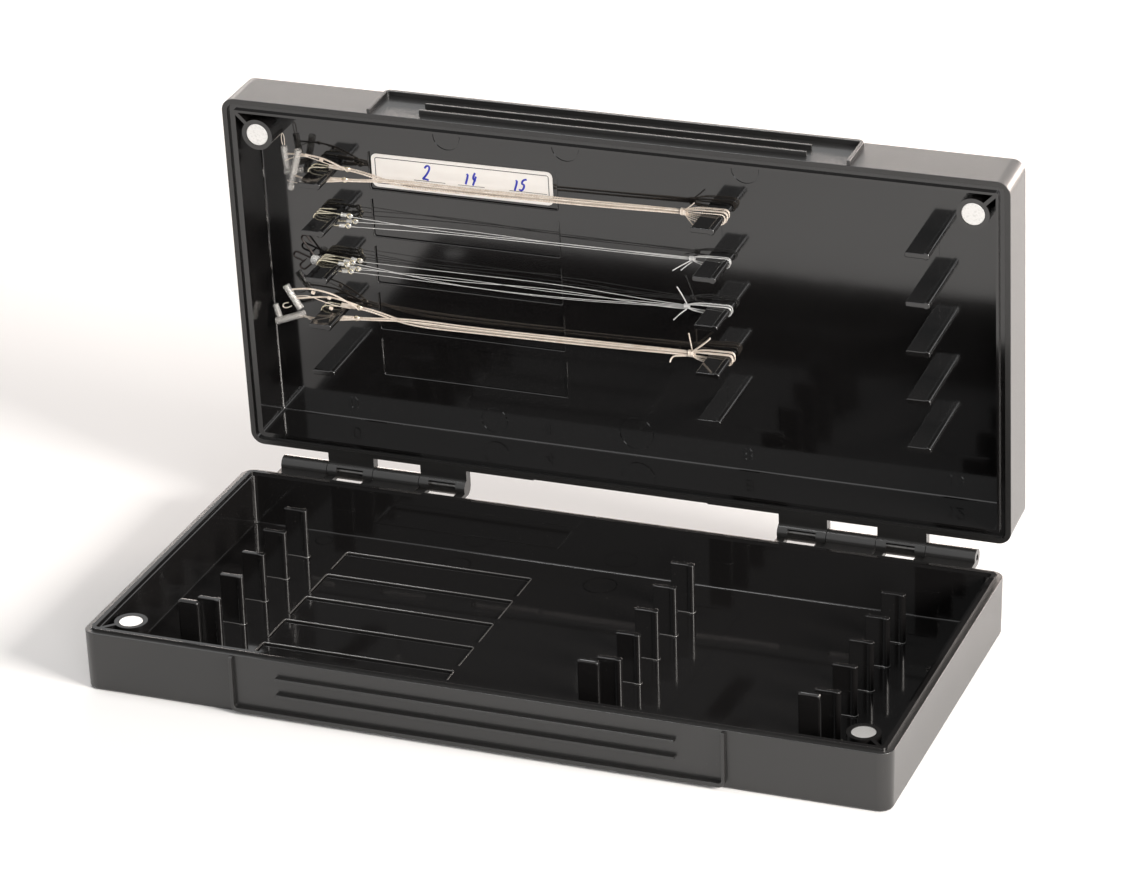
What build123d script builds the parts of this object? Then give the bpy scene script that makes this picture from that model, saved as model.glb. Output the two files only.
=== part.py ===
from build123d import *
import os
from math import acos, atan2, cos, degrees, radians, sin

os.makedirs("parts", exist_ok=True)

# Overall sizes of the two trays
case_width = 384.0
case_depth = 184.0
base_height = 29.0
lid_height = 28.2
rim_gap = 0.3
corner_radius = 6.5
outer_draft = 1.0
outer_edge_round = 1.5
rim_edge_round = 0.3
wall = 6.8
inner_corner_radius = 2.0
inner_draft = 0.5
floor_edge_round = 0.8
base_floor = 3.7
lid_floor = 3.4

# Tongue on the base rim and groove in the lid rim
tongue_inset = 3.0
tongue_width = 2.2
tongue_height = 1.1
groove_side_gap = 0.4
groove_depth = 1.6

# Hinge
axis_behind_wall = 9.15
axis_above_rim = 1.0
open_angle = 86.58
barrel_radius = 4.2
knuckle_outer_end = case_width / 2 - 16.4
knuckle_pitch = 24.2
knuckle_gap = 0.3
knuckle_count = 4
pin_diameter = 3.0
pin_recess = 1.5
pin_end_gap = 0.5
blind_end = 2.0
base_bore_gap = 0.02
lid_bore_gap = 0.08
slot_length = 14.0
slot_low = 0.2
slot_high = 3.0
stop_gap = 0.3
heel_length = 4.4
heel_top = 1.8
heel_bottom = 4.1

# Pegs
peg_plate_width = 9.0
peg_plate_thickness = 2.6
peg_bead_diameter = 3.5
peg_bead_centre = 9.85
peg_below_rim = 0.6
left_peg_x = -(case_width / 2 - 35.7)
middle_peg_x = 40.2
right_peg_x = case_width / 2 - 49.6
peg_columns = [left_peg_x, middle_peg_x, right_peg_x]
row_margins = 84.8
base_first_row = case_depth / 2 - 34.4
lid_first_row = case_depth / 2 - 43.5
row_count = 5
peg_pitch = (case_depth - row_margins) / (row_count - 1)
tall_peg_row = -(case_depth / 2 - 25.6)
tall_peg_height = 10.5
tall_peg_width = 10.2
tall_peg_left = [left_peg_x + 2.3, middle_peg_x - 0.1, right_peg_x]

# Shallow marks moulded in the floors
recess_from_peg = 26.8
recess_length = 95.6
recess_left = left_peg_x + recess_from_peg
recess_right = recess_left + recess_length
recess_height = peg_pitch - 4.8
recess_depth = 0.8
mark_depth = 0.2
numeral_size = 5.6
numeral_stroke = 0.7
inch = 25.4
ruler_start = left_peg_x + 9.5
ruler_row = case_depth / 2 - 15.5

# Magnets and the bosses that hold them
magnet_x = case_width / 2 - 17.3
magnet_y = -(case_depth / 2 - 17.2)
magnet_diameter = 11.0
magnet_thickness = 3.0
magnet_below_rim = 0.2
magnet_side_gap = 0.05
boss_diameter = 15.4
boss_rib = 1.8

# Grip ribs on the front walls
grip_proud = 2.2
grip_rib = 1.2
grip_side = 117.5
grip_side_rib = 1.6
grip_far_rib = 2.1
grip_corner = 3.0
grip_round = 0.3
base_grip_top = base_height - 1.4
lid_grip_top = lid_height - 3.8
base_grip_bars = [7.7, 15.95]
lid_grip_bars = [5.0, 12.6]
base_grip_reach = [-(grip_side - 22.5), grip_side - 23.2]
lid_grip_reach = [-(grip_side - 24.5), grip_side - 22.0]

# Flat outside panel on the lid back wall
back_panel_left = -44.3
back_panel_right = 43.8
back_panel_depth = 0.6

# Paper label in the first lid recess
label_side_gap = 1.8
label_edge_gap = 1.4
label_width = recess_length - 2 * label_side_gap
label_height = recess_height - 2 * label_edge_gap
label_corner = 2.8
label_thickness = 0.3
label_shift = [-0.6, -0.4]
label_centre = [(recess_left + recess_right) / 2 + label_shift[0],
                lid_first_row - (row_count - 1) * peg_pitch + label_shift[1]]

# Hook rigs on the lid pegs
braid_diameter = 1.0
mono_diameter = 0.7
hook_wire = 0.9
hook_bend = 3.0
hook_eye = 1.1
eye_wire = 0.76
hook_skew = 4.0
strand_layer = 0.65
loop_gap = 0.12

# Levels and planes that follow from the sizes above
lid_rim = base_height + rim_gap
lid_floor_level = lid_rim + lid_height - lid_floor
axis_y = case_depth / 2 + axis_behind_wall
axis_z = base_height + axis_above_rim
front = -case_depth / 2
back = case_depth / 2
hinge = Axis((0, axis_y, axis_z), (1, 0, 0))
hook_bend_x = peg_columns[0] + hook_bend - hook_wire / 2 - 0.05
base_rows = [base_first_row - i * peg_pitch for i in range(row_count)]
lid_rows = [lid_first_row - i * peg_pitch for i in range(row_count)]


def block(x0, x1, y0, y1, z0, z1):
    # Box given by its two ends along each axis
    solid = Box(abs(x1 - x0), abs(y1 - y0), abs(z1 - z0))
    return Pos((x0 + x1) / 2, (y0 + y1) / 2, (z0 + z1) / 2) * solid


def flip(shape):
    # Mirror image through the level plane
    return mirror(shape, about=Plane.XY)


def ring(inset, width, height):
    # Closed band that follows the tray outline
    outer_r = corner_radius - inset
    inner_r = max(outer_r - width, 0.8)
    outer = RectangleRounded(case_width - 2 * inset, case_depth - 2 * inset, outer_r)
    inset += width
    inner = RectangleRounded(case_width - 2 * inset, case_depth - 2 * inset, inner_r)
    return extrude(outer - inner, amount=height)


def tray(height, floor):
    # Shallow tray standing on its rim with the floor at the top
    outline = RectangleRounded(case_width, case_depth, corner_radius)
    outer = extrude(outline, amount=height, taper=outer_draft)
    top_edges = outer.faces().sort_by(Axis.Z)[-1].edges()
    outer = fillet(top_edges, outer_edge_round)
    rim_edges = outer.faces().sort_by(Axis.Z)[0].edges()
    outer = fillet(rim_edges, rim_edge_round)
    hole = RectangleRounded(case_width - 2 * wall, case_depth - 2 * wall, inner_corner_radius)
    cavity = extrude(hole, amount=height - floor, taper=inner_draft)
    deep_edges = cavity.faces().sort_by(Axis.Z)[-1].edges()
    cavity = fillet(deep_edges, floor_edge_round)
    return outer - cavity


def peg(height):
    # Upright plate with a round bead down its right edge
    plate = block(0, peg_plate_width, -peg_plate_thickness / 2, peg_plate_thickness / 2, 0, height)
    plate = fillet(plate.edges().filter_by(Axis.Z).sort_by(Axis.X)[:2], 0.7)
    bead = Cylinder(peg_bead_diameter / 2, height, align=(Align.CENTER, Align.CENTER, Align.MIN))
    body = plate + Pos(peg_bead_centre, 0, 0) * bead
    return fillet(body.faces().sort_by(Axis.Z)[-1].edges(), 0.4)


def tall_peg(height):
    # Plain upright tongue with rounded edges
    half = peg_plate_thickness / 2
    body = block(0, tall_peg_width, -half, half, 0, height)
    body = fillet(body.edges().filter_by(Axis.Y).sort_by(Axis.Z)[-2:], 1.6)
    return fillet(body.faces().filter_by(Axis.Y).edges(), 0.9)


def boss(height):
    # Round post for a magnet with one thin rib out to the tray corner
    post = Cylinder(boss_diameter / 2, height, align=(Align.CENTER, Align.CENTER, Align.MIN))
    reach = (case_width / 2 - wall - magnet_x) * 1.4142 + 1.0
    rib = block(boss_diameter / 2 - 1, reach, -boss_rib / 2, boss_rib / 2, 0, height)
    return post + Rot(0, 0, -45) * rib


def magnet_pocket():
    # Space for one magnet, measured down from the rim
    radius = magnet_diameter / 2 + magnet_side_gap
    depth = magnet_thickness + magnet_below_rim
    return Cylinder(radius, depth + 2, align=(Align.CENTER, Align.CENTER, Align.MIN))


def magnet():
    # Plain disc with broken edges
    disc = Cylinder(magnet_diameter / 2, magnet_thickness)
    return fillet(disc.edges(), 0.25)


def both_sides(shape):
    # The shape and its mirror image left to right
    return [shape, mirror(shape, about=Plane.YZ)]


def knuckle_ends(index):
    # Inner and outer end of one hinge knuckle, counted from the case side
    outer = knuckle_outer_end - index * knuckle_pitch
    return outer - knuckle_pitch + knuckle_gap, outer


def knuckle(index, web_low, web_high):
    # Barrel on the hinge axis with a flat web back to the tray wall
    inner, outer = knuckle_ends(index)
    barrel = Cylinder(barrel_radius, outer - inner, rotation=(0, 90, 0))
    barrel = Pos((inner + outer) / 2, axis_y, axis_z) * barrel
    web = block(inner, outer, back - 1.2, axis_y, web_low, web_high)
    return barrel + web


def bore(gap):
    # Hole for the pin, open at the outer end and closed at the inner end
    inner = knuckle_ends(knuckle_count - 1)[0] + blind_end
    length = knuckle_outer_end + 1 - inner
    hole = Cylinder(pin_diameter / 2 + gap, length, rotation=(0, 90, 0))
    return Pos(inner + length / 2, axis_y, axis_z) * hole


def slot(index):
    # Window cut into a lid barrel from below, showing the pin
    inner, outer = knuckle_ends(index)
    middle = (inner + outer) / 2
    low = axis_z - barrel_radius - 1
    return block(middle - slot_length / 2, middle + slot_length / 2,
                 axis_y - slot_high, axis_y - slot_low, low, axis_z - 0.2)


def heel(x0, x1):
    # Stop foot that rests against the base back wall when the lid is open
    tip = back + stop_gap
    foot = block(x0, x1, tip, axis_y - 1.5, axis_z - heel_bottom, axis_z - heel_top)
    return foot.rotate(hinge, open_angle)


def bar(x0, x1, z0, z1):
    # One straight rib standing proud of the front wall
    solid = block(x0, x1, front - grip_proud, front + 1.0, z0, z1)
    outer_face = solid.faces().sort_by(Axis.Y)[0]
    return fillet(outer_face.edges(), grip_round)


def grip(near, far, ribs, reach):
    # Frame of thin ribs with two long ribs inside, heights measured away from the rim
    y0 = front - grip_proud
    y1 = front + 1.0
    outside = block(-grip_side, grip_side, y0, y1, near - 12, far)
    outside = fillet(outside.edges().filter_by(Axis.Y).sort_by(Axis.Z)[-2:], grip_corner)
    side = grip_side - grip_side_rib
    inside = block(-side, side, y0 - 1, y1 + 1, near - 14, far - grip_far_rib)
    inner_corner = grip_corner - grip_side_rib
    inside = fillet(inside.edges().filter_by(Axis.Y).sort_by(Axis.Z)[-2:], inner_corner)
    frame = outside - inside
    frame = frame - block(-grip_side - 5, grip_side + 5, y0 - 2, y1 + 2, near - 20, near)
    outer_face = frame.faces().sort_by(Axis.Y)[0]
    frame = fillet(outer_face.edges(), grip_round)
    bars = [bar(reach[0], reach[1], z, z + grip_rib) for z in ribs]
    return frame + bars


def ejector(x, y, diameter, level, down):
    # Thin ring left by a round mould pin
    outer = Circle(diameter / 2)
    inner = Circle(diameter / 2 - 0.5)
    mark = extrude(outer - inner, amount=2 * mark_depth, both=True)
    return Pos(x, y, level) * mark


def numeral(text, x, y, level):
    # Raised digits on the lid floor, upright when the lid stands open
    h = numeral_size / 2
    w = numeral_size * 0.28
    c = w * 0.4
    shapes = {
        "0": [[(-w + c, h), (w - c, h), (w, h - c), (w, c - h), (w - c, -h), (c - w, -h),
               (-w, c - h), (-w, h - c), (-w + c, h), (w - c, h)]],
        "1": [[(-w * 0.4, h * 0.6), (w * 0.3, h), (w * 0.3, -h)]],
        "2": [[(-w, h - c * 2), (-w + c, h), (w - c, h), (w, h - c), (w, c * 0.6),
               (-w, -h), (w, -h)]],
        "4": [[(w * 0.5, -h), (w * 0.5, h), (-w, -h * 0.3), (w, -h * 0.3)]],
        "8": [[(-w + c, h), (w - c, h), (w, h - c), (w, c), (w - c, 0), (c - w, 0),
               (-w, c), (-w, h - c), (-w + c, h), (w - c, h)],
              [(-w + c, 0), (w - c, 0), (w, -c), (w, c - h), (w - c, -h), (c - w, -h),
               (-w, c - h), (-w, -c), (-w + c, 0), (w - c, 0)]],
    }
    plane = Plane(origin=(x, y, level - mark_depth), x_dir=(1, 0, 0), z_dir=(0, 0, 1))
    solids = []
    for place_in_text, digit in enumerate(text):
        shift = (place_in_text - (len(text) - 1) / 2) * numeral_size * 0.85
        for points in shapes[digit]:
            for p, q in zip(points, points[1:]):
                run = ((q[0] - p[0]) ** 2 + (q[1] - p[1]) ** 2) ** 0.5
                turn = degrees(atan2(-(q[1] - p[1]), q[0] - p[0]))
                stroke = Box(run + numeral_stroke, numeral_stroke, 2 * mark_depth)
                middle = Pos((p[0] + q[0]) / 2 + shift, -(p[1] + q[1]) / 2, 0)
                solids.append(plane * middle * Rot(0, 0, turn) * stroke)
    return solids[0] + solids[1:] if len(solids) > 1 else solids[0]


def floor_marks(level, rows, panels, rings):
    # Label recesses, panel outlines and round marks cut into a floor
    cuts = []
    for y in rows:
        half = recess_height / 2
        recess = block(recess_left, recess_right, y - half, y + half,
                       level - recess_depth, level + recess_depth)
        cuts.append(fillet(recess.edges().filter_by(Axis.Z), 1.0))
    for x0, x1, y0, y1 in panels:
        cuts.append(block(x0, x1, y0, y1, level - mark_depth, level + mark_depth))
    for x, y, diameter in rings:
        cuts.append(ejector(x, y, diameter, level, True))
    return cuts


# Base tray with its bosses, pegs, rim tongue, knuckles and grip
base_tray = Pos(0, 0, base_height) * flip(tray(base_height, base_floor))
panel_gap = 6.8
panel_front = -(case_depth / 2 - 39.0)
panel_back = case_depth / 2 - 27.6
base_panels = [(middle_peg_x + panel_gap, middle_peg_x + 32.3, panel_front, panel_back),
               (right_peg_x + 3.1, right_peg_x + 33.6, panel_front, panel_back + 2.1)]
ring_row = case_depth / 2 - 20.8
base_rings = [(left_peg_x + 82.4, ring_row, 14.0), (middle_peg_x - 40.6, ring_row - 0.7, 16.5),
              (left_peg_x + 11.3, ring_row + 4.8, 9.0)]
base_tray = base_tray - floor_marks(base_floor, base_rows, base_panels, base_rings)
base_tray = base_tray + Pos(0, 0, base_height) * ring(tongue_inset, tongue_width, tongue_height)
root = 0.5
base_peg = peg(base_height - peg_below_rim - base_floor + root)
base_tall = tall_peg(base_height + tall_peg_height - base_floor + root)
base_adds = []
for x in peg_columns:
    for y in base_rows:
        base_adds.append(Pos(x, y, base_floor - root) * base_peg)
for x in tall_peg_left:
    base_adds.append(Pos(x, tall_peg_row, base_floor - root) * base_tall)
base_boss = Pos(magnet_x, magnet_y, base_floor - root) * boss(base_height - base_floor + root)
base_adds += both_sides(base_boss)
for index in (0, 2):
    base_adds += both_sides(knuckle(index, axis_z - barrel_radius, base_height))
base_adds.append(Pos(0, 0, base_height) * flip(
    grip(0.5, base_grip_top, base_grip_bars, base_grip_reach)))
base_tray = base_tray + base_adds
pocket_bottom = base_height - magnet_thickness - magnet_below_rim
base_pocket = Pos(magnet_x, magnet_y, pocket_bottom) * magnet_pocket()
base_tray = base_tray - both_sides(base_pocket) - both_sides(bore(base_bore_gap))

# Lid tray, made in its closed place
lid_tray = Pos(0, 0, lid_rim) * tray(lid_height, lid_floor)
lid_panels = [(middle_peg_x + panel_gap, middle_peg_x + 32.8, panel_front - 2.5, panel_back - 2.4),
              (right_peg_x + 9.1, right_peg_x + 33.1, panel_front - 2.5, panel_back - 2.4)]
lid_rings = [(left_peg_x + 83.4, ring_row + 4.6, 13.8), (middle_peg_x - 39.9, ring_row + 1.6, 17.5),
             (left_peg_x + 96.7, lid_rows[3] + 0.7, 15.0), (left_peg_x + 67.7, magnet_y + 2.2, 14.0),
             (left_peg_x + 127.5, magnet_y + 1.2, 14.0), (middle_peg_x + 19.2, magnet_y + 2.3, 14.0)]
lid_tray = lid_tray - floor_marks(lid_floor_level, lid_rows, lid_panels, lid_rings)
groove_inset = tongue_inset - groove_side_gap
groove_width = tongue_width + 2 * groove_side_gap
lid_tray = lid_tray - Pos(0, 0, lid_rim) * ring(groove_inset, groove_width, groove_depth)
panel_cut = block(back_panel_left, back_panel_right, back - back_panel_depth, back + 1,
                  lid_rim - 1, lid_rim + lid_height + 1)
lid_tray = lid_tray - panel_cut
lid_peg = flip(peg(lid_height - lid_floor - peg_below_rim + root))
lid_adds = []
for x in peg_columns:
    for y in lid_rows:
        lid_adds.append(Pos(x, y, lid_floor_level + root) * lid_peg)
lid_boss = flip(boss(lid_height - lid_floor + root))
lid_adds += both_sides(Pos(magnet_x, magnet_y, lid_floor_level + root) * lid_boss)
for index in (1, 3):
    lid_adds += both_sides(knuckle(index, lid_rim, axis_z + barrel_radius))
    inner, outer = knuckle_ends(index)
    lid_adds += both_sides(heel(inner, inner + heel_length))
    lid_adds += both_sides(heel(outer - heel_length, outer))
lid_adds.append(Pos(0, 0, lid_rim) * grip(0.5, lid_grip_top, lid_grip_bars, lid_grip_reach))
ruler_room = case_width / 2 - wall - numeral_size - ruler_start
for step in range(int(ruler_room / (4 * inch)) + 1):
    x = ruler_start + step * 4 * inch
    lid_adds.append(numeral(str(4 * step), x, ruler_row, lid_floor_level))
lid_tray = lid_tray + lid_adds
lid_pocket = Pos(magnet_x, magnet_y, lid_rim + magnet_thickness + magnet_below_rim)
lid_pocket = lid_pocket * flip(magnet_pocket())
lid_cuts = both_sides(lid_pocket) + both_sides(bore(lid_bore_gap))
for index in (1, 3):
    lid_cuts += both_sides(slot(index))
lid_tray = lid_tray - lid_cuts

# Hinge pins, one on each side
pin_inner = knuckle_ends(knuckle_count - 1)[0] + blind_end + pin_end_gap
pin_outer = knuckle_outer_end - pin_recess
pin = Cylinder(pin_diameter / 2, pin_outer - pin_inner, rotation=(0, 90, 0))
pin = chamfer(pin.edges(), 0.3)
pin = Pos((pin_inner + pin_outer) / 2, axis_y, axis_z) * pin
pin_right, pin_left = both_sides(pin)

# Magnets seated on the pocket floors
base_magnet = Pos(magnet_x, magnet_y, pocket_bottom + magnet_thickness / 2) * magnet()
base_magnet_right, base_magnet_left = both_sides(base_magnet)
lid_magnet_level = lid_rim + magnet_below_rim + magnet_thickness / 2
lid_magnet = Pos(magnet_x, magnet_y, lid_magnet_level) * magnet()
lid_magnet_right, lid_magnet_left = both_sides(lid_magnet)

# Paper label lying on the floor of the first recess
label_top = lid_floor_level + recess_depth
rig_label = block(label_centre[0] - label_width / 2, label_centre[0] + label_width / 2,
                  label_centre[1] - label_height / 2, label_centre[1] + label_height / 2,
                  label_top - label_thickness, label_top)
rig_label = fillet(rig_label.edges().filter_by(Axis.Z), label_corner)


def spot(x, y, off):
    # Point inside the lid, given as a distance off the lid floor
    return (x, y, lid_floor_level - off)


def strand(points, diameter):
    # Round cord that follows a smooth line through the points
    path = Spline(*points)
    return sweep(Plane(origin=path @ 0, z_dir=path % 0) * Circle(diameter / 2), path=path)


def straight(start, end, diameter):
    # Round cord pulled straight between two points
    path = Line(start, end)
    return sweep(Plane(origin=start, z_dir=path % 0) * Circle(diameter / 2), path=path)


def loop(knot_x, row, off, diameter):
    # Cord from the knot round the bead of one middle peg and back to the knot
    centre = peg_columns[1] + peg_bead_centre
    r = peg_bead_diameter / 2 + diameter / 2 + loop_gap
    entry = peg_plate_thickness / 2 + diameter / 2 + loop_gap
    reach = centre - knot_x
    tilt = acos(r / (reach ** 2 + entry ** 2) ** 0.5) - atan2(reach, entry)
    touch_x = centre + r * sin(tilt)
    touch_y = r * cos(tilt)
    out = Line(spot(knot_x, row - entry, off), spot(touch_x, row - touch_y, off))
    turn = ThreePointArc(spot(touch_x, row - touch_y, off), spot(centre + r, row, off),
                         spot(touch_x, row + touch_y, off))
    home = Line(spot(touch_x, row + touch_y, off), spot(knot_x, row + entry, off))
    start = Plane(origin=out @ 0, z_dir=out % 0)
    return sweep(start * Circle(diameter / 2), path=Wire([out, turn, home]))


def knot(x, row, off, length, width, depth):
    # Rounded lump where the strands meet
    body = Box(length, width, depth)
    body = fillet(body.edges().filter_by(Axis.X), min(width, depth) * 0.3)
    body = fillet(body.faces().filter_by(Axis.X).edges(), 0.6)
    return Pos(*spot(x, row, off)) * body


def hook(length, bend, arm, with_eye):
    # Fish hook lying flat round its bend centre, shank to the right
    wire = hook_wire / 2
    shank = Line((length, -bend, 0), (0, -bend, 0))
    turn = ThreePointArc((0, -bend, 0), (-bend, 0, 0), (0, bend, 0))
    point = Line((0, bend, 0), (arm, bend, 0))
    path = Wire([shank, turn, point])
    body = sweep(Plane(origin=(length, -bend, 0), z_dir=(-1, 0, 0)) * Circle(wire), path=path)
    body += Pos(arm + 1.15, bend, 0) * Cone(wire, 0.08, 2.4, rotation=(0, 90, 0))
    if with_eye:
        body += Pos(length + hook_eye, -bend, 0) * Torus(hook_eye, eye_wire / 2)
    return body


def peg_hook(row, off, side, length):
    # Hook hung on a left peg with its shank above or below the peg
    shape = Rot(0, 0, hook_skew) * hook(length, hook_bend, 5.0, True)
    if side > 0:
        shape = mirror(shape, about=Plane.XZ)
    return Pos(*spot(hook_bend_x, row, off)) * shape


def eye_centre(row, side, length):
    # Middle of the eye of a hook that hangs on a left peg
    reach = length + hook_eye
    turn = radians(hook_skew)
    x = hook_bend_x + reach * cos(turn) + hook_bend * sin(turn)
    y = reach * sin(turn) - hook_bend * cos(turn)
    return x, row - side * y


def free_hook(centre, row, off, angle, length, side):
    # Small dark hook without an eye, standing out to the left from the tie
    shape = Pos(-length - 1.0, 1.7, 0) * hook(length, 1.7, 2.2, False)
    if side > 0:
        shape = mirror(shape, about=Plane.XZ)
    return Pos(*spot(centre, row, off)) * Rot(0, 0, angle) * shape


def stop(points, diameter):
    # Short soft tube that keeps a hook apart
    body = strand(points, diameter)
    return fillet(body.edges(), diameter * 0.2)


def trim(shape, others):
    # The longest piece left of a strand where it meets other pieces
    for other in others:
        shape -= other
    return shape.solids().sort_by(SortBy.VOLUME)[-1]


def rig_line(row, hooks, knot_x, knot_off, knot_size, loops, diameter, doubled):
    # Strands from every hook eye to one knot, with loops round the middle peg
    lump = knot(knot_x, row, knot_off, *knot_size)
    lift = eye_wire / 2 + diameter / 2 + 0.06
    tall = 2 * lift + diameter * 0.8
    plug = Cylinder(hook_eye - eye_wire / 2 - 0.06, tall)
    pitch = diameter + 0.25
    order = sorted(hooks, key=lambda entry: (entry[1], entry[0]))
    for rank, (off, side, length) in enumerate(order):
        x, y = eye_centre(row, side, length)
        end_y = row + (rank - (len(order) - 1) / 2) * pitch
        lump += Pos(*spot(x, y, off)) * plug
        for layer in ((1, -1) if doubled else (1,)):
            lump += straight(spot(x, y, off + layer * lift),
                             spot(knot_x, end_y, knot_off + layer * strand_layer), diameter)
    for off, thickness in loops:
        lump += loop(knot_x, row, off, thickness)
    return lump


def place(shape):
    # Turn a lid piece from its closed place to the open rest place
    return shape.rotate(hinge, -open_angle)


row_a, row_b, row_c, row_d = lid_rows[4], lid_rows[3], lid_rows[2], lid_rows[1]

# Hooks of each rig: distance off the lid floor, side of the peg, shank length
set_a = [(5.6, -1, 14.3), (9.4, 1, 14.3)]
set_b = [(2.6, 1, 15.0), (5.2, -1, 13.5), (7.8, 1, 13.5)]
set_c = [(1.8, -1, 15.5), (3.4, 1, 15.0), (5.0, -1, 13.0), (6.6, 1, 12.5), (8.2, -1, 11.5)]
set_d = [(3.6, -1, 14.0), (7.2, 1, 14.0)]
hooks_a = [peg_hook(row_a, off, side, length) for off, side, length in set_a]
hooks_b = [peg_hook(row_b, off, side, length) for off, side, length in set_b]
hooks_c = [peg_hook(row_c, off, side, length) for off, side, length in set_c]
hooks_d = [peg_hook(row_d, off, side, length) for off, side, length in set_d]

# Braided rig on the first row
knot_a = middle_peg_x - 9.2
line_a = rig_line(row_a, set_a, knot_a, 6.2, (5.0, 5.4, 6.4),
                  [(4.2, 1.1), (5.5, 1.1), (6.8, 1.1), (8.4, 0.8)], braid_diameter, True)
line_a += straight(spot(knot_a, row_a - 1.0, 6.6), spot(knot_a + 5.6, row_a - 5.8, 7.6), 0.9)

# Clear rig on the second row
knot_b = middle_peg_x - 6.8
line_b = rig_line(row_b, set_b, knot_b, 4.0, (4.4, 4.6, 3.4),
                  [(3.4, mono_diameter), (4.6, mono_diameter)], mono_diameter, False)
line_b += straight(spot(knot_b, row_b + 0.6, 4.4), spot(knot_b - 8.2, row_b + 4.8, 9.2), mono_diameter)
line_b += straight(spot(knot_b, row_b + 1.6, 3.6), spot(knot_b - 4.8, row_b + 5.2, 7.0), mono_diameter)

# Clear rig on the third row
knot_c = middle_peg_x - 10.2
line_c = rig_line(row_c, set_c, knot_c, 4.4, (3.8, 5.6, 5.0),
                  [(3.2, mono_diameter), (4.4, mono_diameter), (5.6, mono_diameter)],
                  mono_diameter, False)
line_c += straight(spot(knot_c, row_c - 1.4, 4.6), spot(knot_c - 4.0, row_c - 10.4, 6.2), mono_diameter)
line_c += straight(spot(knot_c, row_c + 1.4, 4.8), spot(knot_c - 5.2, row_c + 5.6, 9.4), mono_diameter)

# Small dark hooks beyond the third left peg and the lump that ties them on
tie_x = left_peg_x - 2.6
points_c = [free_hook(tie_x, row_c - 1.0, 3.6, 54, 10.5, 1),
            free_hook(tie_x, row_c - 1.0, 5.0, 20, 8.5, -1),
            free_hook(tie_x, row_c - 1.0, 6.4, -42, 5.5, 1)]
tie_c = Pos(*spot(tie_x, row_c - 1.0, 5.0)) * Sphere(2.2)
for piece in hooks_c + points_c:
    tie_c -= piece

# Braided rig on the fourth row
knot_d = middle_peg_x - 8.8
line_d = rig_line(row_d, set_d, knot_d, 4.2, (4.8, 5.4, 5.2),
                  [(2.9, 1.1), (4.2, 1.1), (5.5, 1.1)], braid_diameter, True)
line_d += straight(spot(knot_d, row_d - 1.0, 4.8), spot(knot_d + 10.4, row_d - 10.4, 6.6), 1.2)
line_d += straight(spot(knot_d, row_d - 1.2, 3.4), spot(knot_d - 0.8, row_d - 11.0, 5.2), 0.9)
line_d += straight(spot(knot_d, row_d + 1.0, 4.4), spot(knot_d - 10.2, row_d + 4.6, 6.4), 1.2)

# Soft tubes beyond the left pegs, placed from the left peg column and their own row
def beyond(row, points):
    # Points given by distance left of the peg column, from the row and off the lid floor
    return [spot(left_peg_x - left, row + across, off) for left, across, off in points]


stops_a = [stop(beyond(row_a, [(13.5, -14.5, 7.2), (13.0, -7.3, 7.4), (12.0, 0.1, 7.6)]), 3.4),
           stop(beyond(row_a, [(7.1, -6.7, 8.6), (9.1, 1.7, 9.4), (10.5, 9.5, 10.0)]), 3.8)]
stops_d = [stop(beyond(row_d, [(18.3, -11.7, 7.6), (15.1, -6.1, 8.0), (10.9, -0.3, 8.4)]), 3.6),
           stop(beyond(row_d, [(23.3, 6.9, 10.6), (16.1, 4.3, 10.2), (8.5, 1.3, 9.8)]), 3.8)]

# Hair strands that join the tubes to the upper and lower hook eyes
top_a = eye_centre(row_a, -1, 14.3)
low_a = eye_centre(row_a, 1, 14.3)
top_d = eye_centre(row_d, -1, 14.0)
low_d = eye_centre(row_d, 1, 14.0)
hairs_a = [strand([spot(top_a[0], top_a[1], 7.35)]
                  + beyond(row_a, [(-9.3, -6.2, 7.0), (-1.3, -7.6, 7.2), (6.1, -7.8, 7.2),
                                   (13.0, -7.3, 7.4)]), 1.0),
           strand([spot(low_a[0], low_a[1], 11.15)]
                  + beyond(row_a, [(-8.9, 3.3, 11.4), (-0.3, 3.5, 11.2), (9.0, 2.4, 9.6)]), 1.0)]
hairs_d = [strand([spot(top_d[0], top_d[1], 5.35)]
                  + beyond(row_d, [(-9.3, -7.4, 5.6), (-0.3, -10.2, 6.6), (9.3, -11.0, 7.4),
                                   (16.7, -9.4, 7.8)]), 1.0),
           strand([spot(top_d[0], top_d[1], 1.85)]
                  + beyond(row_d, [(-8.1, -5.4, 3.6), (0.7, -6.6, 5.4), (14.5, -5.0, 8.0)]), 1.0),
           strand([spot(low_d[0], low_d[1], 8.95)]
                  + beyond(row_d, [(-8.3, 3.3, 9.4), (1.1, 3.5, 10.0), (12.3, 3.0, 10.0)]), 1.0)]
hairs_a = [trim(piece, [line_a] + stops_a) for piece in hairs_a]
hairs_d = [trim(piece, [line_d] + stops_d) for piece in hairs_d]

nodes = {
    "base_tray": base_tray,
    "base_magnet_left": base_magnet_left,
    "base_magnet_right": base_magnet_right,
    "hinge_pin_left": pin_left,
    "hinge_pin_right": pin_right,
    "lid_tray": place(lid_tray),
    "lid_magnet_left": place(lid_magnet_left),
    "lid_magnet_right": place(lid_magnet_right),
    "rig_label": place(rig_label),
    "rig_1_line": place(line_a),
    "rig_2_line": place(line_b),
    "rig_3_line": place(line_c),
    "rig_4_line": place(line_d),
    "rig_3_tie": place(tie_c),
}
groups = {
    "rig_1_hair": hairs_a,
    "rig_4_hair": hairs_d,
    "rig_1_hook": hooks_a,
    "rig_2_hook": hooks_b,
    "rig_3_hook": hooks_c,
    "rig_4_hook": hooks_d,
    "rig_3_point": points_c,
    "rig_1_stop": stops_a,
    "rig_4_stop": stops_d,
}
for name, pieces in groups.items():
    for index, piece in enumerate(pieces):
        nodes[name + "_" + "abcdef"[index]] = place(piece)
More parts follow.
